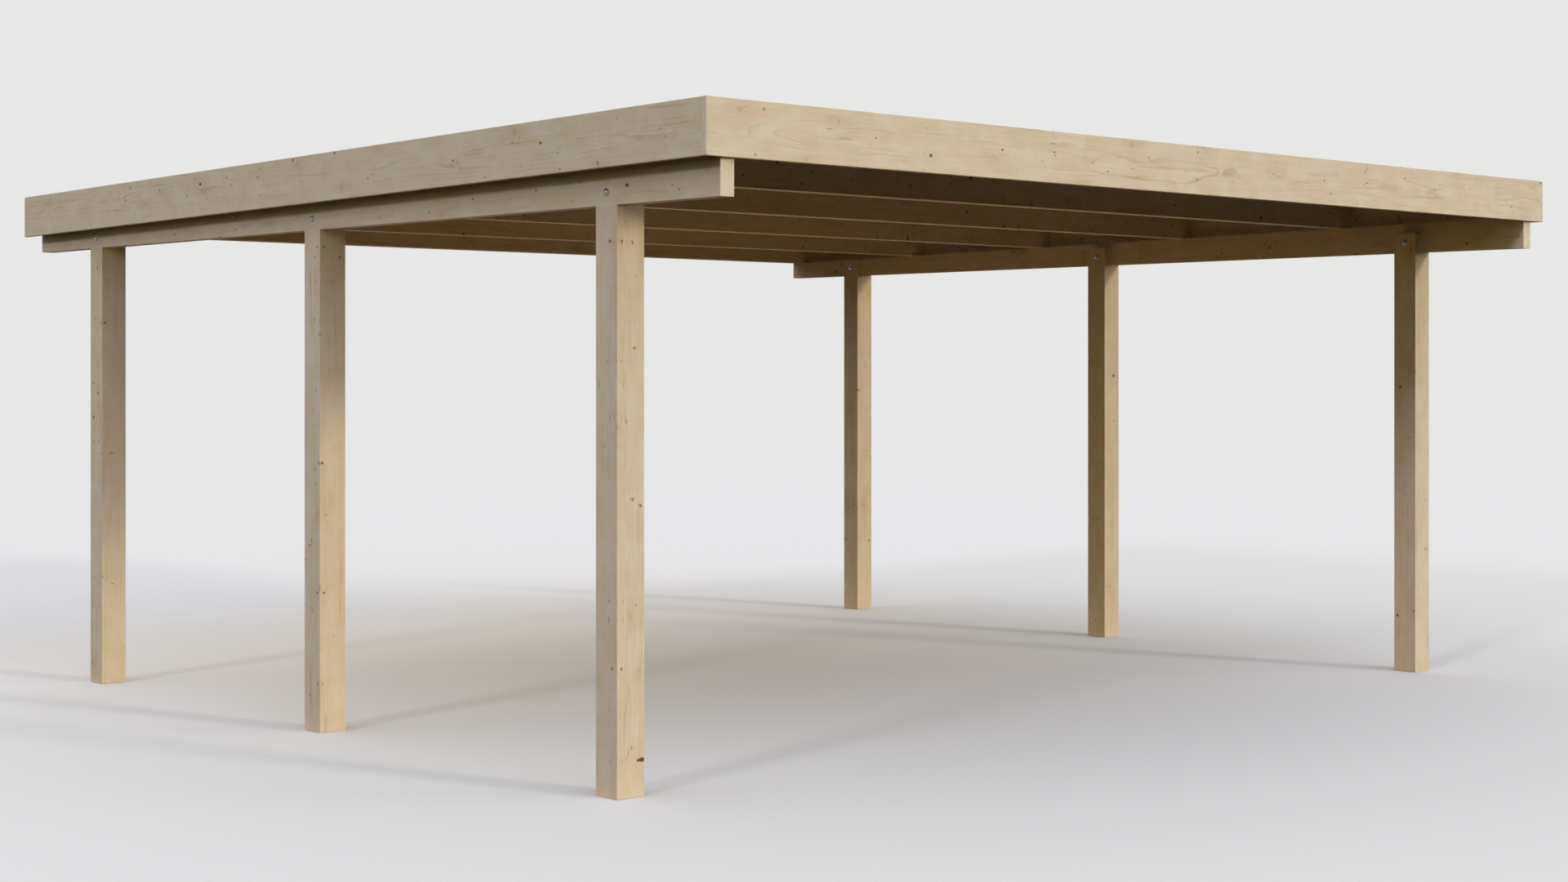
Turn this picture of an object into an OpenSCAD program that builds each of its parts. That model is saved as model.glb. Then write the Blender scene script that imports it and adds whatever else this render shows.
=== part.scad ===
// Open timber carport: six rebated posts, two tapered beams, rafters across them and a
// flat roof of trapezoidal sheets inside a fascia. The front is at -Y, the roof falls
// towards the rear at +Y, and the origin is on the ground under the middle of the roof.

/* [Roof plan] */
// Width of the roof over the faces of the side fascias
roof_w = 5240; // [3600:10:6600]
// Depth of the roof, from the front fascia to the rear ends of the side fascias
roof_d = 5187; // [3600:1:7200]
// Fall of the roof towards the rear, in mm per metre
roof_fall = 10.5; // [0:0.5:30]

/* [Posts] */
// Side of the square posts
post_w = 120; // [100:5:160]
// Side of the roof to the outer face of the posts
post_inset = 78; // [65:1:400]
// Front of the roof to the front face of the front posts
post_front = 570; // [150:5:900]
// Rear of the roof to the rear face of the rear posts
post_rear = 560; // [150:5:900]
// Gap between the top of a post's tongue and the level of the lowest rafter
tongue_gap = 1; // [0:0.5:20]

/* [Beams] */
// Clear height from the ground to the underside of the beams
beam_z = 2064; // [1800:1:2800]
// Width of the beams, which is also the depth of the rebate in the posts
beam_w = 60; // [40:1:80]
// Height of the beams at their rear end
beam_rear_h = 94; // [70:1:200]

/* [Rafters] */
// Number of rafters
rafter_count = 6; // [4:1:9]
// Width of a rafter
rafter_w = 60; // [40:1:80]
// Height of a rafter
rafter_h = 140; // [100:1:160]
// Width of the edge joists that close the rafters' ends
edge_w = 40; // [25:1:60]

/* [Fascia] */
// Height of the front and side fascias
fascia_h = 195; // [190:1:240]
// Thickness of the fascias and of the rear board
fascia_t = 21; // [18:1:35]
// How far the fascias hang below the undersides of the rafters
fascia_drop = 20; // [0:1:25]
// How far the side fascias run on past the rear board
drip_over = 28; // [10:1:60]

/* [Roof sheets] */
// Number of sheets side by side
sheet_count = 5; // [4:1:7]
// Number of ribs that one sheet covers
sheet_ribs = 8; // [5:1:10]
// Thickness of the sheet metal
sheet_t = 0.6; // [0.5:0.1:1]
// Height of a rib
rib_h = 18; // [10:1:20]
// Width of a rib across its flat top
rib_top = 26; // [15:1:35]
// Width of a rib across its foot
rib_foot = 44; // [37:1:60]
// Clearance around the sheets inside the fascias
sheet_gap = 4; // [2:0.5:10]
// Height above the roof at which the edge of a side lap ends
lap_z = 2; // [1.5:0.5:5]

/* [Bolts] */
// Diameter of the bolts
bolt_d = 10; // [8:1:12]
// Clearance of the bolts in the timber, all round
bolt_clear = 0.5; // [0.2:0.1:1]
// Diameter of the domed bolt heads
head_d = 22; // [18:0.5:28]
// Height of the domed bolt heads
head_h = 7; // [3:0.5:9]
// Diameter of the washers
washer_d = 30; // [20:0.5:36]
// Thickness of the washers
washer_t = 2.5; // [1.5:0.5:4]
// Width of the nuts across their flats
nut_af = 17; // [13:0.5:19]
// Thickness of the nuts
nut_h = 8; // [6:0.5:12]
// Length of bolt that stands out of the nuts
bolt_out = 4; // [1:1:15]
// Clearance between a bolt and its washer and nut, all round
nut_clear = 0.1; // [0.05:0.05:0.3]

/* [Hidden] */
$fn = 48;
EPS = 1;
TIMBER = "#cdb98f";
STEEL = "#b9bcc0";
SHEET = "#a9adb0";

SIDES = ["left", "right"];
ROWS = ["front", "middle", "rear"];
ROW_IDS = [0, 1, 2];
RAFTER_IDS = [1:rafter_count];
SHEET_IDS = [1:sheet_count];

// Distances to the rear, measured from the front of the roof
rear_board_out = roof_d - drip_over;
rear_board_in = rear_board_out - fascia_t;
front_post_y = post_front;
rear_post_y = roof_d - post_rear - post_w;
post_ys = [front_post_y, (front_post_y + rear_post_y) / 2, rear_post_y];
rafter_first = fascia_t;
rafter_last = rear_board_in - rafter_w;
rafter_pitch = (rafter_last - rafter_first) / (rafter_count - 1);

// Heights: the plane on which the rafters rest falls with the roof
slope = roof_fall / 1000;
slope_angle = atan(slope);
function rest_z(y) = beam_z + beam_rear_h + slope * (rear_board_out - y);
tongue_h = beam_rear_h - tongue_gap;
bolt_z = beam_z + tongue_h / 2;
fascia_z = rest_z(fascia_t) - fascia_drop;

// Distances inwards from the side of the roof
beam_x = post_inset;
edge_x = fascia_t;
rafter_x = edge_x + edge_w;

// A bolt reaches through the beam, the tongue, the inner washer and the nut
bolt_reach = post_w + washer_t + nut_h + bolt_out;
head_r = (head_d * head_d / 4 + head_h * head_h) / (2 * head_h);

// Ribs of the roof sheets
flank_run = (rib_foot - rib_top) / 2;
flank_len = sqrt(rib_h * rib_h + flank_run * flank_run);
sheet_y = fascia_t + sheet_gap;
sheet_len = (roof_d - sheet_gap - sheet_y) / cos(slope_angle);
first_rib_x = fascia_t + sheet_gap + rib_half(0, 1);
sheet_cover = (roof_w - 2 * first_rib_x) / sheet_count;
rib_pitch = sheet_cover / sheet_ribs;

// Half the width of a rib at a height, on the sheet's underside (level 0), on its top
// (level 1), or on the top of a second sheet lapped over it (level 2)
function rib_half(z, level) =
    rib_top / 2 + flank_run * (rib_h - z) / rib_h + level * sheet_t * flank_len / rib_h;

// Outline of one rib at a level, from its left foot to its right foot
function rib_line(x, level, left_z, right_z) =
    let (top_z = rib_h + level * sheet_t, top_half = rib_half(top_z, level))
    [
        [x - rib_half(left_z, level), left_z],
        [x - top_half, top_z],
        [x + top_half, top_z],
        [x + rib_half(right_z, level), right_z],
    ];

// One face of a sheet, from its left edge to its right edge. The lap is 1 on a sheet
// whose left rib lies over its neighbour, and 0 on the first sheet.
function sheet_line(level, lap) = [
    each rib_line(0, level + lap, lap * lap_z, level * sheet_t),
    for (i = [1:sheet_ribs - 1]) each rib_line(i * rib_pitch, level, level * sheet_t, level * sheet_t),
    each rib_line(sheet_cover, level, level * sheet_t, 0),
];

function reversed(list) = [for (i = [len(list) - 1:-1:0]) list[i]];

// Moves a piece drawn from the front of the roof into the part's frame
module in_plan() {
    translate([0, -roof_d / 2, 0])
        children();
}

// Puts a piece drawn inwards from x = 0 at the left or the right side of the roof
module at_side(side) {
    in_plan()
        mirror([side == "right" ? 1 : 0, 0, 0])
            translate([-roof_w / 2, 0, 0])
                children();
}

// A prism along X with its outline in the Y and Z directions
module along_x(x, length, outline) {
    translate([x, 0, 0])
        rotate([90, 0, 90])
            linear_extrude(length)
                polygon(outline);
}

// A member between two distances from the front whose edges follow the fall of the roof
module sloping(x, length, y1, y2, low, high) {
    along_x(x, length, [
        [y1, rest_z(y1) + low],
        [y2, rest_z(y2) + low],
        [y2, rest_z(y2) + high],
        [y1, rest_z(y1) + high],
    ]);
}

// A bolt hole along X through everything at one post
module bolt_hole(y) {
    translate([beam_x - EPS, y + post_w / 2, bolt_z])
        rotate([0, 90, 0])
            cylinder(d = bolt_d + 2 * bolt_clear, h = post_w + 2 * EPS);
}

// A square post, rebated at its head so that the beam sits on a shoulder
module post(side, y) {
    color(TIMBER)
        at_side(side)
            difference() {
                translate([post_inset, y, 0])
                    cube([post_w, post_w, beam_z + tongue_h]);
                translate([post_inset - EPS, y - EPS, beam_z])
                    cube([beam_w + EPS, post_w + 2 * EPS, tongue_h + EPS]);
                bolt_hole(y);
            }
}

// A beam with a level underside and a top that falls with the roof
module beam(side) {
    color(TIMBER)
        at_side(side)
            difference() {
                along_x(beam_x, beam_w, [
                    [fascia_t, beam_z],
                    [rear_board_out, beam_z],
                    [rear_board_out, rest_z(rear_board_out)],
                    [fascia_t, rest_z(fascia_t)],
                ]);
                for (y = post_ys)
                    bolt_hole(y);
            }
}

// A rafter across both beams, between the edge joists
module rafter(i) {
    y = rafter_first + (i - 1) * rafter_pitch;
    color(TIMBER)
        in_plan()
            sloping(-roof_w / 2 + rafter_x, roof_w - 2 * rafter_x, y, y + rafter_w, 0, rafter_h);
}

// The joist that closes the ends of the rafters and backs a side fascia
module edge_joist(side) {
    color(TIMBER)
        at_side(side)
            sloping(edge_x, edge_w, fascia_t, rear_board_in, 0, rafter_h);
}

// The front fascia runs over the ends of the side fascias
module fascia_front() {
    color(TIMBER)
        in_plan()
            translate([-roof_w / 2, 0, fascia_z])
                cube([roof_w, fascia_t, fascia_h]);
}

// A side fascia, falling with the roof
module fascia_side(side) {
    color(TIMBER)
        at_side(side)
            sloping(0, fascia_t, fascia_t, roof_d, -fascia_drop, fascia_h - fascia_drop);
}

// The board across the rear between the side fascias, level with the rafters so that the
// sheets drain over it
module rear_board() {
    color(TIMBER)
        in_plan()
            sloping(-roof_w / 2 + fascia_t, roof_w - 2 * fascia_t,
                rear_board_in, rear_board_out, 0, rafter_h);
}

// A trapezoidal sheet whose ribs run down the slope
module roof_sheet(i) {
    lap = i == 1 ? 0 : 1;
    outline = concat(sheet_line(0, lap), reversed(sheet_line(1, lap)));
    x = -roof_w / 2 + first_rib_x + (i - 1) * sheet_cover;
    color(SHEET)
        in_plan()
            translate([x, sheet_y, rest_z(sheet_y) + rafter_h])
                rotate([90 - slope_angle, 0, 0])
                    translate([0, 0, -sheet_len])
                        linear_extrude(sheet_len)
                            polygon(outline);
}

// A domed bolt: its head and washer lie on the beam's outer face, and its shank goes
// through the beam and the tongue
module bolt(side, y) {
    color(STEEL)
        at_side(side)
            translate([beam_x, y + post_w / 2, bolt_z])
                rotate([0, 90, 0])
                    union() {
                        cylinder(d = bolt_d, h = bolt_reach);
                        translate([0, 0, -washer_t])
                            cylinder(d = washer_d, h = washer_t);
                        translate([0, 0, -washer_t])
                            intersection() {
                                translate([0, 0, head_r - head_h])
                                    sphere(r = head_r);
                                translate([0, 0, -head_h - EPS])
                                    cylinder(d = head_d + EPS, h = head_h + EPS);
                            }
                    }
}

// The washer and the nut on the inner face of the tongue
module nut(side, y) {
    color(STEEL)
        at_side(side)
            translate([post_inset + post_w, y + post_w / 2, bolt_z])
                rotate([0, 90, 0])
                    difference() {
                        union() {
                            cylinder(d = washer_d, h = washer_t);
                            cylinder(d = nut_af / cos(30), h = washer_t + nut_h, $fn = 6);
                        }
                        translate([0, 0, -EPS])
                            cylinder(d = bolt_d + 2 * nut_clear, h = washer_t + nut_h + 2 * EPS);
                    }
}

for (side = SIDES, i = ROW_IDS) {
    post(side, post_ys[i]);
    bolt(side, post_ys[i]);
    nut(side, post_ys[i]);
}
for (side = SIDES) {
    beam(side);
    edge_joist(side);
    fascia_side(side);
}
for (i = RAFTER_IDS)
    rafter(i);
for (i = SHEET_IDS)
    roof_sheet(i);
fascia_front();
rear_board();
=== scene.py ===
"""Looks of the open timber carport: planed spruce, zinc-plated bolts and coated roof
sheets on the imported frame, with the roof screws, the floor, the light and the camera."""

import math
import random

import bmesh
import bpy
from mathutils import Matrix, Vector


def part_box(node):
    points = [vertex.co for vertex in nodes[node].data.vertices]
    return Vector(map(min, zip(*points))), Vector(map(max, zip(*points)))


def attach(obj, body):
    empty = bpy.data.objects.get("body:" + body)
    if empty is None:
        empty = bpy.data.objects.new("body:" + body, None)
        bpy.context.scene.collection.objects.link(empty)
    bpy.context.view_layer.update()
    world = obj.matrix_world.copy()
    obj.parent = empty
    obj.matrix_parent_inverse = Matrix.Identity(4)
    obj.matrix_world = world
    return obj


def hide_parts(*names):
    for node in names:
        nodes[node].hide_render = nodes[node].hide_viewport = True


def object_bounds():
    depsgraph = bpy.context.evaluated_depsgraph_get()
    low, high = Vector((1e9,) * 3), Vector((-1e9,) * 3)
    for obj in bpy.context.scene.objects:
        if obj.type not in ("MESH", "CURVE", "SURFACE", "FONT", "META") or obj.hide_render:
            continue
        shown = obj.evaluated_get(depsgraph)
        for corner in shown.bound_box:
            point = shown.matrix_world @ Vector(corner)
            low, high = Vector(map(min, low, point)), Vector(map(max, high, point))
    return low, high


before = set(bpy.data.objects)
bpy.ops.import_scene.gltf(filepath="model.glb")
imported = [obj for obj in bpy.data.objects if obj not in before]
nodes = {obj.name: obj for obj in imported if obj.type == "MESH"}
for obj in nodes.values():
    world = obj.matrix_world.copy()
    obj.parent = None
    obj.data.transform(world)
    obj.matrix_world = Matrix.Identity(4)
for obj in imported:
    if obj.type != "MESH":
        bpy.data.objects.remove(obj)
cad_low, cad_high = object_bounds()
scene = bpy.context.scene
draw = random.Random(11)

ALONG_X, ALONG_Y, ALONG_Z = Vector((1, 0, 0)), Vector((0, 1, 0)), Vector((0, 0, 1))
SHEETS = sorted(name for name in nodes if name.startswith("roof_sheet"))
RAFTERS = sorted(name for name in nodes if name.startswith("rafter"))

# ---------------------------------------------------------------- node building


class Tree:
    """Adds nodes to one node tree. Each method returns the new node's main output, and
    an argument may be another node's output or a plain value."""

    def __init__(self, tree):
        self.tree = tree

    def node(self, kind, inputs, **settings):
        n = self.tree.nodes.new(kind)
        for name, value in settings.items():
            setattr(n, name, value)
        self.feed_all(n, inputs)
        return n

    def feed(self, socket, value):
        if isinstance(value, bpy.types.NodeSocket):
            self.tree.links.new(value, socket)
        elif socket.type == "RGBA" and len(value) == 3:
            socket.default_value = (*value, 1.0)
        else:
            socket.default_value = value

    def feed_all(self, node, inputs):
        for key, value in inputs.items():
            self.feed(node.inputs[key], value)

    def place(self):
        """The place in the carport's own frame, in metres."""
        return self.node("ShaderNodeTexCoord", {}).outputs["Object"]

    def math(self, operation, *values):
        return self.node("ShaderNodeMath", dict(enumerate(values)), operation=operation).outputs[0]

    def sum(self, a, b):
        return self.math("ADD", a, b)

    def less(self, a, b):
        return self.math("SUBTRACT", a, b)

    def times(self, a, b):
        return self.math("MULTIPLY", a, b)

    def over(self, a, b):
        return self.math("DIVIDE", a, b)

    def scaled(self, x, gain, offset):
        return self.math("MULTIPLY_ADD", x, gain, offset)

    def moved(self, x, noise, width):
        """x, moved by a noise of 0 to 1 up to half the width either way."""
        return self.sum(x, self.scaled(noise, width, -width / 2))

    def length(self, a, b):
        """The length of the vector (a, b)."""
        return self.math("SQRT", self.sum(self.times(a, a), self.times(b, b)))

    def bell(self, x, width):
        """1 at x = 0, falling smoothly to 0 a few widths away."""
        ratio = self.over(x, width)
        return self.math("EXPONENT", self.times(self.times(ratio, ratio), -1.0))

    def step(self, x, low, high, out_low=0.0, out_high=1.0):
        """Turns smoothly from out_low to out_high as x goes from low to high."""
        inputs = {"Value": x, "From Min": low, "From Max": high, "To Min": out_low, "To Max": out_high}
        return self.node("ShaderNodeMapRange", inputs, interpolation_type="SMOOTHSTEP").outputs[0]

    def vector(self, x, y, z=0.0):
        return self.node("ShaderNodeCombineXYZ", {"X": x, "Y": y, "Z": z}).outputs[0]

    def split(self, vector):
        return self.node("ShaderNodeSeparateXYZ", {"Vector": vector}).outputs

    def dot(self, a, b):
        n = self.node("ShaderNodeVectorMath", {0: a, 1: b}, operation="DOT_PRODUCT")
        return n.outputs["Value"]

    def noise(self, vector, scale=1.0, detail=2.0):
        """A smooth noise about 0.5."""
        n = self.node("ShaderNodeTexNoise", {"Vector": vector, "Scale": scale, "Detail": detail})
        return n.outputs["Fac"]

    def noises(self, vector, scale=1.0, detail=2.0):
        """Three smooth noises about 0.5."""
        n = self.node("ShaderNodeTexNoise", {"Vector": vector, "Scale": scale, "Detail": detail})
        return self.split(n.outputs["Color"])

    def mix(self, factor, a, b, blend="MIX"):
        n = self.tree.nodes.new("ShaderNodeMix")
        n.data_type = "RGBA"
        n.blend_type = blend
        for socket, value in ((n.inputs[0], factor), (n.inputs[6], a), (n.inputs[7], b)):
            self.feed(socket, value)
        return n.outputs[2]

    def tinted(self, colour, tint):
        return self.mix(1.0, colour, tint, "MULTIPLY")

    def grey(self, value):
        return self.node("ShaderNodeCombineColor", {0: value, 1: value, 2: value}).outputs[0]

    def bump(self, height, strength, distance):
        inputs = {"Height": height, "Strength": strength, "Distance": distance}
        return self.node("ShaderNodeBump", inputs).outputs[0]


def new_material(name):
    """A material with a bare shader, the builder of its tree, and that shader."""
    material = bpy.data.materials.new(name)
    material.use_nodes = True
    tree = material.node_tree
    tree.nodes.clear()
    shader = tree.nodes.new("ShaderNodeBsdfPrincipled")
    output = tree.nodes.new("ShaderNodeOutputMaterial")
    tree.links.new(shader.outputs[0], output.inputs["Surface"])
    return material, Tree(tree), shader


# ---------------------------------------------------------------- spruce

# The colours in the wood, as linear red, green and blue
PALE = (0.722, 0.618, 0.462)
HONEY = (0.676, 0.568, 0.384)
PINK = (0.722, 0.570, 0.424)
MILKY = (0.750, 0.660, 0.520)
LATEWOOD = (0.455, 0.325, 0.175)
AMBER = (0.560, 0.375, 0.190)
KNOT_RIM = (0.330, 0.190, 0.090)
KNOT_CORE = (0.075, 0.045, 0.020)
RESIN = (0.300, 0.165, 0.070)
RING = 0.0052  # spacing of the growth rings, in metres
# How often knots and dashes come: for each metre of the trunk, and each radian round it
BRANCHES = (0.95, 1.3)
PINS = (3.4, 2.9)
DASHES = (1.3, 4.0)


class Trunk:
    """The place in a trunk whose pith wanders slowly about 0, 0. It is given as a vector
    (distance along the grain, across, across) in metres."""

    def __init__(self, t, place):
        self.t = t
        self.place = place
        self.grain = t.split(place)
        self.along = self.grain[0]
        drift = t.noises(self.stretched(0.8, 4.0))
        across = t.moved(self.grain[1], drift[0], 0.08)
        side = t.moved(self.grain[2], drift[1], 0.08)
        self.radius = t.length(across, side)
        self.angle = t.math("ARCTAN2", side, across)
        self.ragged = t.noises(place, 150.0, 3.0)

    def stretched(self, lengthwise, crosswise):
        """The place, scaled by one number along the grain and another across it."""
        t = self.t
        along, across, side = self.grain
        return t.vector(t.times(along, lengthwise), t.times(across, crosswise), t.times(side, crosswise))

    def scattered(self, per_metre, per_radian):
        """Cells of the trunk, each with one chance feature on a line out from the pith. Gives
        the distance from it along the grain and round the pith, and three chance numbers."""
        t = self.t
        place = t.vector(t.times(self.along, per_metre), t.times(self.angle, per_radian))
        cell = t.node("ShaderNodeTexVoronoi", {"Vector": place, "Scale": 1.0}, voronoi_dimensions="2D")
        at = t.split(cell.outputs["Position"])
        lengthwise = t.less(self.along, t.over(at[0], per_metre))
        sideways = t.times(t.less(self.angle, t.over(at[1], per_radian)), self.radius)
        return lengthwise, sideways, t.split(cell.outputs["Color"])


def branch_knots(t, trunk):
    """A few branches, dark where dead and overgrown with swirled wood where alive. Gives the
    dark core, its rim, the amber glow, how far the rings swell, and the swirl of rings."""
    lengthwise, sideways, chance = trunk.scattered(*BRANCHES)
    size = t.scaled(t.math("POWER", chance[0], 2.0), 0.0035, 0.0034)
    dead = t.step(chance[1], 0.60, 0.62)
    alive = t.less(1.0, dead)

    bend = t.noises(trunk.place, 30.0, 1.0)
    hook = t.moved(t.times(lengthwise, 0.30), bend[0], 0.014)
    swirl = t.length(hook, t.moved(sideways, bend[1], 0.024))
    round_it = t.bell(swirl, t.times(size, 4.2))
    glow = t.times(round_it, t.scaled(alive, 0.08, 0.14))
    swell = t.times(t.bell(swirl, t.times(size, 3.4)), size)
    swell = t.times(swell, t.scaled(alive, 1.4, 1.4))

    lengthwise = t.moved(lengthwise, trunk.ragged[0], 0.006)
    sideways = t.moved(sideways, trunk.ragged[1], 0.0045)
    away = t.over(t.length(t.times(lengthwise, 0.75), sideways), size)
    core = t.times(t.step(away, 1.0, 0.6), dead)
    rim = t.times(t.step(away, 1.5, 1.0), t.scaled(dead, 0.40, 0.60))
    return core, rim, glow, swell, t.times(round_it, alive)


def pin_knots(t, trunk):
    """Many small pins with ragged edges. Gives their dark core and their rim."""
    lengthwise, sideways, chance = trunk.scattered(*PINS)
    size = t.step(chance[0], 0.30, 1.0, 0.0, 0.0032)
    lengthwise = t.moved(lengthwise, trunk.ragged[1], 0.009)
    sideways = t.moved(sideways, trunk.ragged[2], 0.0045)
    away = t.less(t.length(t.times(lengthwise, 0.62), sideways), size)
    core = t.times(t.step(away, 0.0006, -0.0012), t.step(chance[1], 0.0, 1.0, 0.35, 0.98))
    rim = t.times(t.step(away, 0.0034, 0.0), t.step(size, 0.0, 0.0012))
    return core, rim


def resin_dashes(t, trunk):
    """Short dark dashes along the grain."""
    lengthwise, sideways, chance = trunk.scattered(*DASHES)
    size = t.step(chance[1], 0.70, 1.0, 0.0, 0.0021)
    lengthwise = t.moved(t.times(lengthwise, 0.095), trunk.ragged[0], 0.0006)
    return t.step(t.less(t.length(lengthwise, sideways), size), 0.0, -0.0009, 0.0, 0.62)


def late_wood(t, trunk, patches, swell, swirl):
    """Growth rings: pale early wood that darkens to a thin line of late wood, each ring with
    its own strength, fainter outside the patches, and drawn again in the swirls."""
    wobble = t.noise(trunk.stretched(4.0, 28.0), 1.0, 3.0)
    ripple = t.noise(trunk.stretched(20.0, 75.0), 1.0, 1.0)
    bent = t.scaled(wobble, 0.0110, t.sum(trunk.radius, swell))
    bent = t.sum(bent, t.times(ripple, 0.0034))
    count = t.over(bent, RING)
    phase = t.math("FRACT", count)
    one = t.node("ShaderNodeTexWhiteNoise", {"W": t.math("FLOOR", count)}, noise_dimensions="1D")
    strength = t.math("POWER", one.outputs["Value"], 1.8)
    line = t.times(t.step(phase, 0.40, 0.92), t.step(phase, 1.0, 0.94))
    late = t.times(t.times(line, strength), t.step(patches, 0.38, 0.64, 0.05, 0.58))
    swirled = t.times(t.times(t.step(phase, 0.35, 0.9), swirl), 0.30)
    return t.math("MAXIMUM", late, swirled)


def clear_wood(t, trunk, patches, late, fibre):
    """The colour of the wood between the knots. Its tint changes from one part of a board
    to another, and milky and amber streaks and fine fibres run along it."""
    blotch = t.noises(trunk.stretched(7.5, 13.0), 1.0, 3.0)
    colour = t.mix(t.step(blotch[0], 0.38, 0.62), PALE, HONEY)
    colour = t.mix(t.step(blotch[1], 0.47, 0.64, 0.0, 0.80), colour, PINK)
    streak = t.noise(trunk.stretched(3.0, 60.0), 1.0, 3.0)
    colour = t.mix(t.step(streak, 0.48, 0.76, 0.0, 0.60), colour, MILKY)
    amber = t.times(t.step(streak, 0.43, 0.20), t.step(patches, 0.42, 0.62, 0.0, 0.8))
    colour = t.mix(amber, colour, AMBER)
    colour = t.mix(late, colour, LATEWOOD)
    figure = t.noise(trunk.stretched(34.0, 6.0), 1.0, 2.0)
    shade = t.times(t.step(fibre, 0.25, 0.75, 0.975, 1.02), t.step(figure, 0.25, 0.75, 0.988, 1.012))
    return t.tinted(colour, t.grey(shade))


def spruce_group():
    """Solid spruce. The input is (distance along the grain, across, across) in metres with
    the pith at 0, 0, so faces show cathedrals and ends show rings."""
    group = bpy.data.node_groups.new("spruce", "ShaderNodeTree")
    sockets = group.interface
    sockets.new_socket("Grain", in_out="INPUT", socket_type="NodeSocketVector")
    sockets.new_socket("Color", in_out="OUTPUT", socket_type="NodeSocketColor")
    sockets.new_socket("Roughness", in_out="OUTPUT", socket_type="NodeSocketFloat")
    sockets.new_socket("Height", in_out="OUTPUT", socket_type="NodeSocketFloat")
    t = Tree(group)
    trunk = Trunk(t, group.nodes.new("NodeGroupInput").outputs["Grain"])

    branch, branch_rim, glow, swell, swirl = branch_knots(t, trunk)
    pin, pin_rim = pin_knots(t, trunk)
    patches = t.noise(trunk.stretched(3.2, 15.0), 1.0, 3.0)
    late = late_wood(t, trunk, patches, swell, swirl)
    fibre = t.noise(trunk.stretched(9.0, 420.0), 1.0, 2.0)

    colour = clear_wood(t, trunk, patches, late, fibre)
    colour = t.mix(resin_dashes(t, trunk), colour, RESIN)
    colour = t.mix(glow, colour, AMBER)
    colour = t.mix(t.times(branch_rim, 0.42), colour, KNOT_RIM)
    colour = t.mix(t.times(branch, 0.92), colour, KNOT_CORE)
    colour = t.mix(t.times(pin_rim, 0.30), colour, KNOT_RIM)
    colour = t.mix(pin, colour, KNOT_CORE)

    knots = t.math("MAXIMUM", branch, pin)
    roughness = t.less(t.scaled(fibre, 0.14, 0.56), t.times(knots, 0.16))
    height = t.sum(t.times(late, 0.5), t.times(fibre, 0.35))
    height = t.less(height, t.times(knots, 0.8))

    output = group.nodes.new("NodeGroupOutput")
    t.feed_all(output, {"Color": colour, "Roughness": roughness, "Height": height})
    return group


SPRUCE = spruce_group()
# What the sawn ends and the painted highlight along the edges multiply the colour by
END_TONE = (1.06, 1.09, 1.15)
EDGE_HIGHLIGHT_TONE = (1.05, 1.06, 1.08)
EDGE_HIGHLIGHT_WIDTH = 0.006  # width of the painted highlight along the edges, in metres
WOOD_GLOSS = 0.06


def timber(name, axis, low, high, pith, shift, tone):
    """Spruce for one piece: its grain runs along axis, and its pith lies at pith from its
    centre, across the grain. shift is how far along the trunk the piece was cut."""
    material, t, shader = new_material(name)
    centre = (low + high) / 2
    out = -pith.normalized()
    turn = Matrix((axis, out, axis.cross(out)))
    start = turn @ (centre + pith)
    start.x = -shift
    place = t.place()
    inputs = {"Vector": place, "Location": -start, "Rotation": turn.to_euler()}
    grain = t.node("ShaderNodeMapping", inputs, vector_type="POINT").outputs[0]
    wood = t.node("ShaderNodeGroup", {}, node_tree=SPRUCE)
    t.feed(wood.inputs["Grain"], grain)
    colour = t.tinted(wood.outputs["Color"], (tone, tone, tone))

    # The sawn ends are a little paler
    normal = t.node("ShaderNodeNewGeometry", {}).outputs["Normal"]
    end = t.step(t.math("ABSOLUTE", t.dot(normal, axis)), 0.6, 0.85)
    colour = t.mix(end, colour, t.tinted(colour, END_TONE))

    # A painted highlight along the planed edges, stronger in some places than in others
    spot = t.split(place)
    inset = []
    for i in range(3):
        if axis[i] == 0:
            off_centre = t.math("ABSOLUTE", t.less(spot[i], centre[i]))
            inset.append(t.less((high[i] - low[i]) / 2, off_centre))
    near = t.step(t.math("MAXIMUM", *inset), EDGE_HIGHLIGHT_WIDTH, 0.001)
    # The painted highlight: a paler, slightly blue band along the edges
    edge_highlight = t.times(near, t.step(t.noise(place, 14.0, 3.0), 0.35, 0.65))
    colour = t.mix(edge_highlight, colour, t.tinted(colour, EDGE_HIGHLIGHT_TONE))

    t.feed_all(shader, {
        "Base Color": colour,
        "Roughness": wood.outputs["Roughness"],
        "Normal": t.bump(wood.outputs["Height"], 0.35, 0.0006),
        "Specular IOR Level": WOOD_GLOSS,
    })
    return material


# ---------------------------------------------------------------- metals and rubber

PAN_DUST_AND_SHADE_TOP = 0.012  # height over a pan at which its dust and painted shade end, in metres


def zinc():
    """Zinc-plated steel of the bolts, nuts and screws."""
    material, t, shader = new_material("zinc_plated_steel")
    place = t.place()
    cloud = t.noise(place, 120.0, 3.0)
    grime = t.noise(place, 900.0, 2.0)
    colour = t.mix(cloud, (0.20, 0.195, 0.185), (0.31, 0.305, 0.295))
    colour = t.mix(t.step(grime, 0.55, 0.75, 0.0, 0.5), colour, (0.12, 0.105, 0.09))
    t.feed_all(shader, {
        "Base Color": colour,
        "Roughness": t.step(cloud, 0.3, 0.7, 0.20, 0.34),
        "Normal": t.bump(grime, 0.15, 0.0002),
        "Metallic": 1.0,
    })
    return material


def roof_fall():
    """How far the roof drops for each metre towards the rear."""
    front_low, front_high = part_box(RAFTERS[0])
    rear_low, rear_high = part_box(RAFTERS[-1])
    return (front_high.z - rear_high.z) / (rear_low.y - front_low.y)


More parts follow.
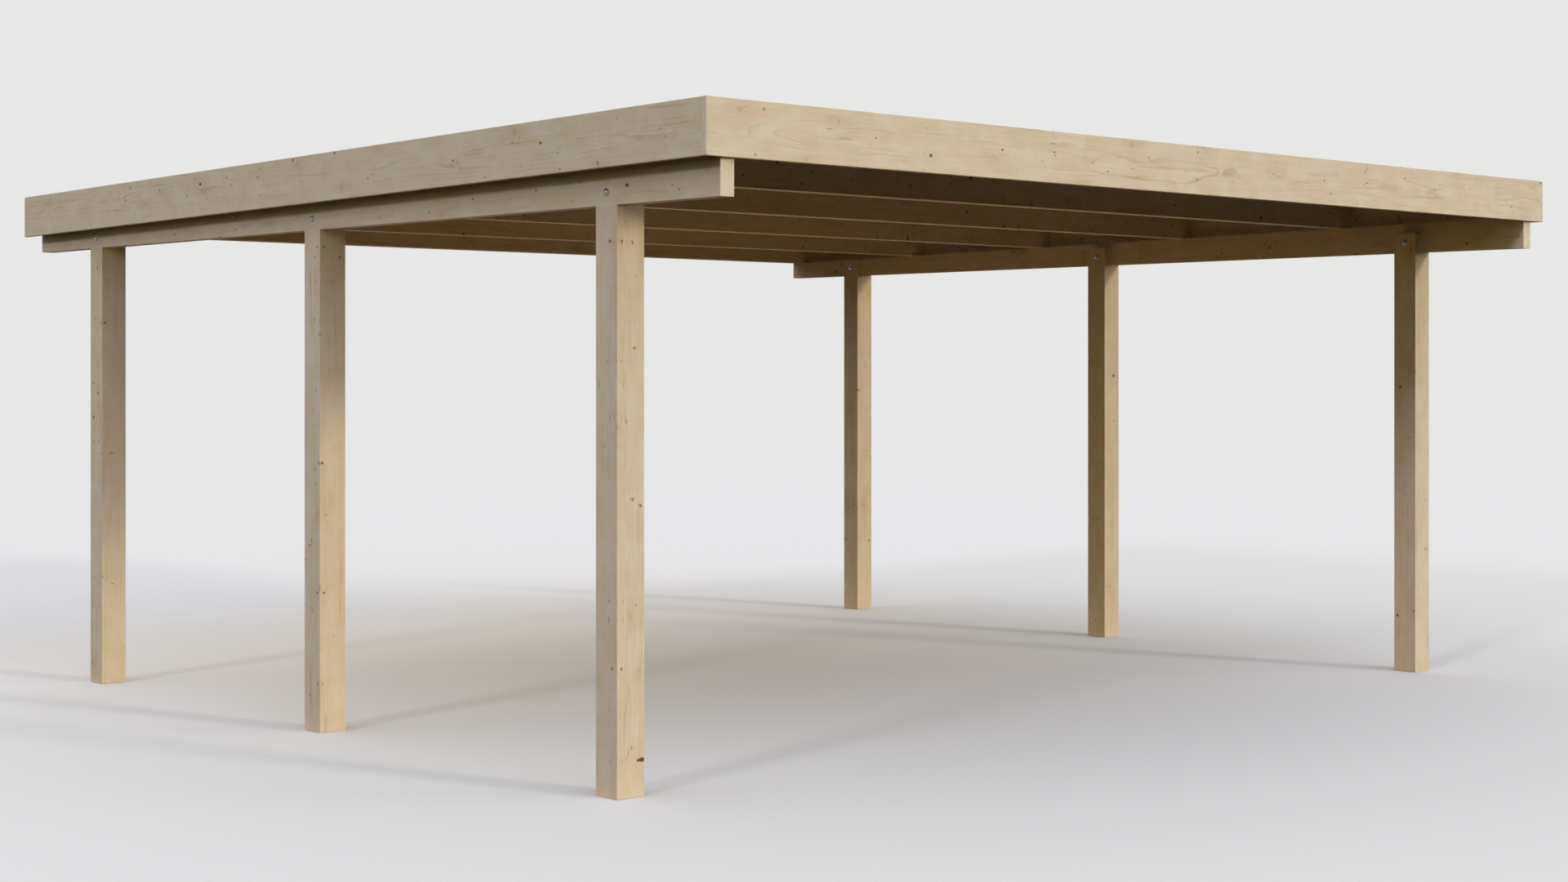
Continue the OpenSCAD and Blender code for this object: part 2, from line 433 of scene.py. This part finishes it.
def sheet_metal():
    """Zinc-coated roof sheet gone dull: a faint spangle, rain streaks, and pans darker than the ribs,
    partly from dust and partly from painted shade between the ribs. The pans are found by the height
    over the sloping sheets' foot."""
    material, t, shader = new_material("coated_sheet")
    sheet_low, sheet_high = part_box(SHEETS[0])
    place = t.place()
    x, y, z = t.split(place)
    cells = t.node("ShaderNodeTexVoronoi", {"Vector": place, "Scale": 160.0}).outputs["Color"]
    spangle = t.split(cells)[0]
    streaks = t.noise(t.vector(t.times(x, 22.0), t.times(y, 0.9), z), 1.0, 4.0)
    dust = t.noise(place, 2.1, 5.0)
    height = t.less(t.less(z, sheet_low.z), t.times(t.less(sheet_high.y, y), roof_fall()))
    pan = t.step(height, PAN_DUST_AND_SHADE_TOP, 0.001)
    colour = t.mix(spangle, (0.50, 0.505, 0.50), (0.57, 0.575, 0.57))
    colour = t.mix(t.step(streaks, 0.40, 0.75, 0.0, 0.45), colour, (0.33, 0.325, 0.31))
    colour = t.mix(t.step(dust, 0.45, 0.75, 0.0, 0.30), colour, (0.50, 0.475, 0.42))
    # The pans are painted darker than the ribs: partly dust, partly painted shade between the ribs
    pan_dust_and_shade = t.times(pan, t.step(streaks, 0.25, 0.60, 0.35, 0.65))
    colour = t.mix(pan_dust_and_shade, colour, (0.30, 0.285, 0.255))
    t.feed_all(shader, {
        "Base Color": colour,
        "Roughness": t.sum(t.step(dust, 0.35, 0.75, 0.40, 0.62), t.times(spangle, 0.08)),
        "Normal": t.bump(t.sum(t.times(streaks, 0.4), dust), 0.15, 0.001),
        "Specular IOR Level": 0.25,
    })
    return material


def rubber():
    """Black rubber of the seals under the roof screws."""
    material, t, shader = new_material("rubber_seal")
    bloom = t.noise(t.place(), 300.0, 3.0)
    t.feed_all(shader, {
        "Base Color": t.mix(bloom, (0.018, 0.018, 0.018), (0.05, 0.05, 0.048)),
        "Roughness": t.step(bloom, 0.3, 0.7, 0.55, 0.75),
    })
    return material


# ---------------------------------------------------------------- the timbers and sheets

EASED_EDGE = 0.0022
# Where the pith lies: how far behind a fascia's back, how far beyond another piece's side as
# a share of that, and how far off to one side, in metres and as a share of the half width
PITH_DEPTH = (0.045, 0.085)
NEARER_PITH = 0.6
FASCIA_OFFSET = 0.03
PITH_OFFSET = 0.35
TRUNK_STEP = 7.3  # how far apart along the trunk the pieces were cut, in metres
TONE = (0.985, 1.015)
GRAIN = {
    "post": ALONG_Z,
    "beam": ALONG_Y,
    "edge_joist": ALONG_Y,
    "rafter": ALONG_X,
    "fascia_front": ALONG_X,
    "fascia_left": ALONG_Y,
    "fascia_right": ALONG_Y,
    "rear_board": ALONG_X,
}
FASCIA_INWARDS = {"fascia_front": ALONG_Y, "fascia_left": ALONG_X, "fascia_right": -ALONG_X}


def grain_axis(name):
    """The direction of the grain in a timber node, or None for a metal one."""
    for start, axis in GRAIN.items():
        if name.startswith(start):
            return axis
    return None


def pith_of(name, low, high, axis):
    """Where the pith lies from the piece's centre. A fascia's lies behind its face, and
    another piece's beyond one of its wide sides, so that no knot runs along a face."""
    half = (high - low) / 2
    depth = draw.uniform(*PITH_DEPTH)
    sign = draw.choice((-1, 1))
    if name in FASCIA_INWARDS:
        inwards = FASCIA_INWARDS[name]
        behind = abs(half.dot(inwards)) + depth
        return inwards * behind + ALONG_Z * draw.uniform(-FASCIA_OFFSET, FASCIA_OFFSET)
    crosswise = [v for v in (ALONG_X, ALONG_Y, ALONG_Z) if v != axis]
    sides = [(round(abs(half.dot(v)), 3), draw.random(), v) for v in crosswise]
    (thin, _, across), (wide, _, aside) = sorted(sides, key=lambda side: side[:2])
    beyond = across * sign * (thin + depth * NEARER_PITH)
    return beyond + aside * wide * draw.uniform(-PITH_OFFSET, PITH_OFFSET)


def ease_edges(piece):
    """Rounds the edges of a timber a little, as a planing machine does."""
    weld = piece.modifiers.new("weld", "WELD")
    weld.merge_threshold = 0.00005
    flat = piece.modifiers.new("flat", "DECIMATE")
    flat.decimate_type = "DISSOLVE"
    flat.angle_limit = math.radians(0.2)
    bevel = piece.modifiers.new("eased", "BEVEL")
    bevel.width = EASED_EDGE
    bevel.segments = 2
    bevel.limit_method = "ANGLE"
    bevel.angle_limit = math.radians(60)


def dress(piece, material):
    """Gives a piece one material."""
    piece.data.materials.clear()
    piece.data.materials.append(material)


def dress_timbers_and_sheets():
    coated = sheet_metal()
    for count, name in enumerate(sorted(nodes), start=1):
        axis = grain_axis(name)
        if name in SHEETS:
            dress(nodes[name], coated)
        if axis is None:
            continue
        low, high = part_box(name)
        pith = pith_of(name, low, high, axis)
        tone = draw.uniform(*TONE)
        wood = timber("spruce_" + name, axis, low, high, pith, TRUNK_STEP * count, tone)
        dress(nodes[name], wood)
        ease_edges(nodes[name])


dress_timbers_and_sheets()

# ---------------------------------------------------------------- bolts and nuts

BOLT_R = 0.005
THREAD_ROOT = 0.0042
THREAD_PITCH = 0.0015
THREAD_ROWS = 8  # rings of points for each turn of the thread
HEAD_R = 0.011
HEAD_H = 0.007
HEAD_RIM = 0.0004
DOME_STEPS = 10
WASHER_R = 0.015
WASHER_T = 0.0025
NUT_FLATS = 0.017
NUT_FACE = 0.96  # radius of the nut's flat face, as a share of half its flats
NUT_CHAMFER = math.radians(30)
NUT_CLEAR = 0.0001
CHAMFER = 0.0006
ROUND_STEPS = 48


def piece_from(name, made, material, sharp=35):
    """Turns a bmesh into a shown piece of the carport."""
    mesh = bpy.data.meshes.new(name)
    bmesh.ops.recalc_face_normals(made, faces=made.faces)
    made.to_mesh(mesh)
    made.free()
    mesh.materials.append(material)
    mesh.shade_smooth()
    mesh.set_sharp_from_angle(angle=math.radians(sharp))
    piece = bpy.data.objects.new(name, mesh)
    scene.collection.objects.link(piece)
    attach(piece, "root")
    return piece


def skin(made, rings, place, close_ends=True):
    """Joins rings of points, given in a piece's own frame, into one closed shell."""
    rows = [[made.verts.new(place @ Vector(p)) for p in ring] for ring in rings]
    steps = len(rows[0])
    for lower, upper in zip(rows, rows[1:] + ([] if close_ends else rows[:1])):
        for i in range(steps):
            j = (i + 1) % steps
            made.faces.new((lower[i], lower[j], upper[j], upper[i]))
    if close_ends:
        made.faces.new(rows[0])
        made.faces.new(rows[-1])


def turned(profile, radius_at=None, steps=ROUND_STEPS):
    """Rings of a turned shape about +Z, from points (radius, height)."""
    rings = []
    for radius, height in profile:
        ring = []
        for i in range(steps):
            a = 2 * math.pi * i / steps
            r = radius_at(radius, height, a) if radius_at else radius
            ring.append((r * math.cos(a), r * math.sin(a), height))
        rings.append(ring)
    return rings


def thread(radius, height, angle, start, end):
    """The radius of a threaded shank between two heights, with a chamfered end."""
    if height < start:
        return radius
    turn = (height / THREAD_PITCH - angle / (2 * math.pi)) % 1
    ridge = 1 - abs(2 * turn - 1)
    depth = (BOLT_R - THREAD_ROOT) * min(1, (height - start) / THREAD_PITCH)
    cut = min(radius, BOLT_R - depth * (1 - ridge))
    return min(cut, THREAD_ROOT + (end - height))


def bolt_rings(reach, thread_from):
    """A domed bolt about +Z whose washer lies on z = 0, and whose shank ends at reach."""
    dome_r = (HEAD_R**2 + HEAD_H**2) / (2 * HEAD_H)
    widest = math.asin(HEAD_R / dome_r)
    profile = []
    for i in range(1, DOME_STEPS):
        a = widest * i / DOME_STEPS
        profile.append((dome_r * math.sin(a), dome_r * (1 - math.cos(a)) - HEAD_H - WASHER_T))
    profile += [(HEAD_R, -WASHER_T - HEAD_RIM), (HEAD_R - HEAD_RIM, -WASHER_T)]
    profile += [(WASHER_R - CHAMFER, -WASHER_T), (WASHER_R, CHAMFER - WASHER_T)]
    profile += [(WASHER_R, -CHAMFER), (WASHER_R - CHAMFER, 0), (BOLT_R, 0), (BOLT_R, thread_from)]
    rows = math.ceil((reach - thread_from) / (THREAD_PITCH / THREAD_ROWS))
    for i in range(1, rows + 1):
        profile.append((BOLT_R, thread_from + (reach - thread_from) * i / rows))
    return turned(profile, lambda r, z, a: thread(r, z, a, thread_from, reach))


def washer_rings():
    """A washer about +Z with its rounded rim, standing on z = 0."""
    bore = BOLT_R + NUT_CLEAR
    lower = [(bore, 0), (WASHER_R - CHAMFER, 0), (WASHER_R, CHAMFER)]
    upper = [(radius, WASHER_T - height) for radius, height in reversed(lower)]
    return turned(lower + upper)


def nut_rings(low, high):
    """A hexagon nut about +Z between two heights, its corners turned off at a slant."""
    flat_r = NUT_FLATS / 2
    bore = BOLT_R + NUT_CLEAR
    face_r = flat_r * NUT_FACE

    def hexagon(a):
        return flat_r / math.cos((a + math.pi / 6) % (math.pi / 3) - math.pi / 6)

    def drop(a):
        return (hexagon(a) - face_r) * math.tan(NUT_CHAMFER)

    def ring(radius, height):
        """A ring whose radius and height follow the angle."""
        return [(radius(a) * math.cos(a), radius(a) * math.sin(a), height(a)) for a in angles]

    angles = [2 * math.pi * i / ROUND_STEPS for i in range(ROUND_STEPS)]
    return [
        ring(lambda a: bore, lambda a: low + CHAMFER),
        ring(lambda a: bore + CHAMFER, lambda a: low),
        ring(lambda a: face_r, lambda a: low),
        ring(hexagon, lambda a: low + drop(a)),
        ring(hexagon, lambda a: high - drop(a)),
        ring(lambda a: face_r, lambda a: high),
        ring(lambda a: bore + CHAMFER, lambda a: high),
        ring(lambda a: bore, lambda a: high - CHAMFER),
    ]


def on_bolt(side, name, x):
    """The place at x on the axis of one post's bolt, turned so that +Z points inwards."""
    bolt_low, bolt_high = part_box("bolt_" + name)
    middle = (bolt_low + bolt_high) / 2
    turn = Matrix.Rotation(math.radians(90 if side == "left" else -90), 4, "Y")
    return Matrix.Translation((x, middle.y, middle.z)) @ turn


def nut_seat(side, name):
    """Where the nut's washer lies on the post, along X."""
    nut_low, nut_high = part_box("nut_" + name)
    return nut_low.x if side == "left" else nut_high.x


def make_bolt(side, name, steel):
    """The domed bolt of one post, with the washer under its head on the beam's outer face."""
    beam_low, beam_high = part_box("beam_" + side)
    bolt_low, bolt_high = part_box("bolt_" + name)
    outer = beam_low.x if side == "left" else beam_high.x
    tip = bolt_high.x if side == "left" else bolt_low.x
    seat = abs(nut_seat(side, name) - outer)
    made = bmesh.new()
    skin(made, bolt_rings(abs(tip - outer), seat + WASHER_T), on_bolt(side, name, outer))
    bolt = piece_from("domed_bolt_" + name, made, steel)
    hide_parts("bolt_" + name)


def make_nut(side, name, steel):
    """The washer and hexagon nut at the inner side of one post."""
    nut_low, nut_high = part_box("nut_" + name)
    place = on_bolt(side, name, nut_seat(side, name))
    made = bmesh.new()
    skin(made, washer_rings(), place, close_ends=False)
    skin(made, nut_rings(WASHER_T, nut_high.x - nut_low.x), place, close_ends=False)
    nut = piece_from("hexagon_nut_" + name, made, steel)
    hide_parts("nut_" + name)


def make_fasteners(steel):
    for side in ("left", "right"):
        for row in ("front", "middle", "rear"):
            make_bolt(side, f"{side}_{row}", steel)
            make_nut(side, f"{side}_{row}", steel)


steel = zinc()
make_fasteners(steel)

# ---------------------------------------------------------------- roof screws

# The sheets' profile
RIBS = 8
RIB_FOOT = 0.044
SHEET_T = 0.0006
SCREWED_PANS = (0, 3, 6)
# A screw from below: the rubber seal, the steel cup over it, the flange and the hexagon
SEAL_R, SEAL_T = 0.0078, 0.0022
SEAL_BULGE = 1.03
CUP_R, CUP_T = 0.0080, 0.0012
CUP_TOP = 0.8
FLANGE_R, FLANGE_T = 0.0055, 0.0009
FLANGE_TOP = 0.95
SCREW_FLATS, SCREW_H = 0.008, 0.0052
SCREW_TOP = 0.9
SCREW_STEPS = 20
LEAN = 0.03  # how far a screw may lean from upright, in radians


def screw_places():
    """Where the screws stand: in every third pan of each sheet, over each rafter."""
    starts = [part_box(name)[0].x for name in SHEETS]
    cover = starts[-1] - starts[-2]
    pitch = cover / RIBS
    first_rib = starts[0] + RIB_FOOT / 2
    places = []
    for name in RAFTERS:
        low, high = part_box(name)
        for sheet in range(len(SHEETS)):
            for pan in SCREWED_PANS:
                x = first_rib + sheet * cover + (pan + 0.5) * pitch
                places.append(Vector((x, (low.y + high.y) / 2, high.z + SHEET_T)))
    return places


def seal_rings():
    """The rubber seal under a screw's head, bulging a little."""
    profile = [(SEAL_R, 0), (SEAL_R * SEAL_BULGE, SEAL_T / 2), (SEAL_R, SEAL_T)]
    return turned(profile, steps=SCREW_STEPS)


def head_shells():
    """The three shells of a screw's head, each as its rings."""
    foot = SEAL_T + CUP_T
    flat_r = SCREW_FLATS / 2
    corner = flat_r / math.cos(math.pi / 6)
    cup = [(CUP_R, SEAL_T), (CUP_R, SEAL_T + CUP_T / 2), (CUP_R * CUP_TOP, foot)]
    flange = [(FLANGE_R, foot), (FLANGE_R * FLANGE_TOP, foot + FLANGE_T)]
    hexagon = [(corner, foot + FLANGE_T), (corner, foot + SCREW_H - CHAMFER)]
    hexagon.append((flat_r * SCREW_TOP, foot + SCREW_H))
    return turned(cup, steps=SCREW_STEPS), turned(flange, steps=SCREW_STEPS), turned(hexagon, steps=6)


def make_screws(steel):
    seals = bmesh.new()
    heads = bmesh.new()
    for spot in screw_places():
        spin = Matrix.Rotation(draw.uniform(0, math.pi), 4, "Z")
        tilt = Matrix.Rotation(draw.uniform(-LEAN, LEAN), 4, "X")
        place = Matrix.Translation(spot) @ tilt @ spin
        skin(seals, seal_rings(), place)
        for shell in head_shells():
            skin(heads, shell, place)
    piece_from("roof_screw_seals", seals, rubber(), 50)
    piece_from("roof_screws", heads, steel, 30)


make_screws(steel)

# ---------------------------------------------------------------- floor, light and camera

# The floor's colour where it shows, and its colour to the rays that light the object
PALE_FLOOR = (0.82, 0.79, 0.74)
DARK_FLOOR = (0.0, 0.0, 0.0)
BACKDROP = (0.80, 0.80, 0.795)
# Half the floor's side, where it turns into the backdrop, and how far it lies below the
# posts' feet, all in metres
FLOOR_SIZE = 300.0
FLOOR_END = (16.0, 45.0)
FLOOR_GAP = 0.0005
# Soft boxes: heading from the front towards the right, height and half-width in degrees,
# and colour. The last four keep the sides that face away from the camera well lit.
SOFT_BOXES = (
    (45, 5, 12, (9.8, 8.4, 6.9)),
    (0, 45, 28, (1.5, 1.8, 2.5)),
    (315, 5, 12, (1.9, 1.8, 0.4)),
    (270, 45, 28, (0.82, 0.86, 0.88)),
    (90, 22, 18, (1.05, 1.0, 0.9)),
    (135, 45, 28, (1.05, 1.05, 1.1)),
    (180, 22, 18, (1.3, 1.3, 1.3)),
    (225, 45, 28, (1.05, 1.05, 1.1)),
)
# Lamps far away: heading, height and size in degrees, strength, and colour
KEY_LAMP = (18, 18, 7, 1.02, (1.0, 0.90, 0.60))
FILL_LAMP = (285, 23, 9, 0.69, (0.87, 0.82, 1.0))
# The glow from the floor under the roof: its side in metres, its colour and its level
BOUNCE_SIZE = 5.2
BOUNCE_COLOUR = (1.0, 0.655, 0.270)
BOUNCE_LEVEL = 0.29
# The camera: place, heading to the right of +Y in degrees, lens in millimetres
CAMERA_AT = Vector((-7.486, -8.3345, 1.5072))
CAMERA_YAW = 42.21
LENS = 53.01
SHIFT_UP = -0.0483


def shown_plainly(t):
    """1 for the rays that show the background itself, 0 for those that light the object."""
    path = t.node("ShaderNodeLightPath", {}).outputs
    mirrored = t.sum(path["Is Glossy Ray"], path["Is Transmission Ray"])
    return t.math("MINIMUM", t.sum(path["Is Camera Ray"], mirrored), 1.0)


def make_floor():
    """A pale floor that turns into the backdrop far away. It is dark to the rays that light
    the object, so the underside of the roof stays in shade."""
    mesh = bpy.data.meshes.new("floor")
    made = bmesh.new()
    bmesh.ops.create_grid(made, x_segments=8, y_segments=8, size=FLOOR_SIZE)
    made.to_mesh(mesh)
    made.free()
    floor = bpy.data.objects.new("floor", mesh)
    floor.location.z = cad_low.z - FLOOR_GAP
    scene.collection.objects.link(floor)
    material, t, shader = new_material("pale_floor")
    plain = shown_plainly(t)
    t.feed_all(shader, {
        "Base Color": t.mix(plain, DARK_FLOOR, PALE_FLOOR),
        "Roughness": 0.9,
        "Specular IOR Level": 0.0,
    })
    spot = t.split(t.place())
    far = t.step(t.length(spot[0], spot[1]), *FLOOR_END)
    backdrop = t.node("ShaderNodeEmission", {"Color": BACKDROP}).outputs[0]
    blend = t.node("ShaderNodeMixShader", {0: t.times(far, plain), 1: shader.outputs[0], 2: backdrop})
    t.feed(t.tree.nodes["Material Output"].inputs["Surface"], blend.outputs[0])
    floor.data.materials.append(material)


def towards(heading, height):
    """The direction of a light, from its heading round from the front and its height."""
    a, b = math.radians(heading), math.radians(height)
    return Vector((math.sin(a) * math.cos(b), -math.cos(a) * math.cos(b), math.sin(b)))


def make_world():
    """Soft boxes all round the carport, and the plain backdrop for the rays that show it."""
    world = bpy.data.worlds.new("studio")
    scene.world = world
    world.use_nodes = True
    world.node_tree.nodes.clear()
    t = Tree(world.node_tree)
    sight = t.node("ShaderNodeTexCoord", {}).outputs["Generated"]
    total = (0.0, 0.0, 0.0)
    for heading, height, spread, colour in SOFT_BOXES:
        facing = t.dot(sight, towards(heading, height))
        narrow = 2 / math.radians(spread) ** 2
        glow = t.math("EXPONENT", t.scaled(facing, narrow, -narrow))
        box = t.node("ShaderNodeVectorMath", {0: colour, "Scale": glow}, operation="SCALE").outputs[0]
        total = t.node("ShaderNodeVectorMath", {0: total, 1: box}, operation="ADD").outputs[0]
    colour = t.mix(shown_plainly(t), total, BACKDROP)
    sky = t.node("ShaderNodeBackground", {"Color": colour}).outputs[0]
    t.node("ShaderNodeOutputWorld", {"Surface": sky})


def add_lamp(name, kind, energy, colour, place, direction):
    """A lamp that shines against a direction, from a place."""
    lamp = bpy.data.lights.new(name, kind)
    lamp.color = colour
    lamp.energy = energy
    holder = bpy.data.objects.new(name, lamp)
    holder.location = place
    holder.rotation_euler = direction.to_track_quat("Z", "Y").to_euler()
    scene.collection.objects.link(holder)
    return holder


def make_lamps():
    """A key lamp low at the front right, a fill lamp at the left, and the warm glow that the
    floor would throw up under the roof."""
    for name, settings in (("key", KEY_LAMP), ("fill", FILL_LAMP)):
        heading, height, size, strength, colour = settings
        direction = towards(heading, height)
        lamp = add_lamp(name, "SUN", strength, colour, direction * 10, direction)
        lamp.data.angle = math.radians(size)
    centre = (cad_low + cad_high) / 2
    under = Vector((centre.x, centre.y, cad_low.z + 0.001))
    power = BOUNCE_LEVEL * math.pi * BOUNCE_SIZE**2
    bounce = add_lamp("bounce", "AREA", power, BOUNCE_COLOUR, under, -ALONG_Z)
    bounce.data.size = BOUNCE_SIZE
    bounce.visible_camera = False


def make_camera():
    """The camera looks level, with its picture shifted down to take in the posts' feet."""
    data = bpy.data.cameras.new("camera")
    data.lens = LENS
    data.sensor_width = 36.0
    data.shift_y = SHIFT_UP
    data.clip_end = 1000.0
    camera = bpy.data.objects.new("camera", data)
    camera.location = CAMERA_AT
    camera.rotation_euler = (math.radians(90), 0, math.radians(-CAMERA_YAW))
    scene.collection.objects.link(camera)
    scene.camera = camera


make_floor()
make_world()
make_lamps()
make_camera()
scene.view_settings.view_transform = "Standard"
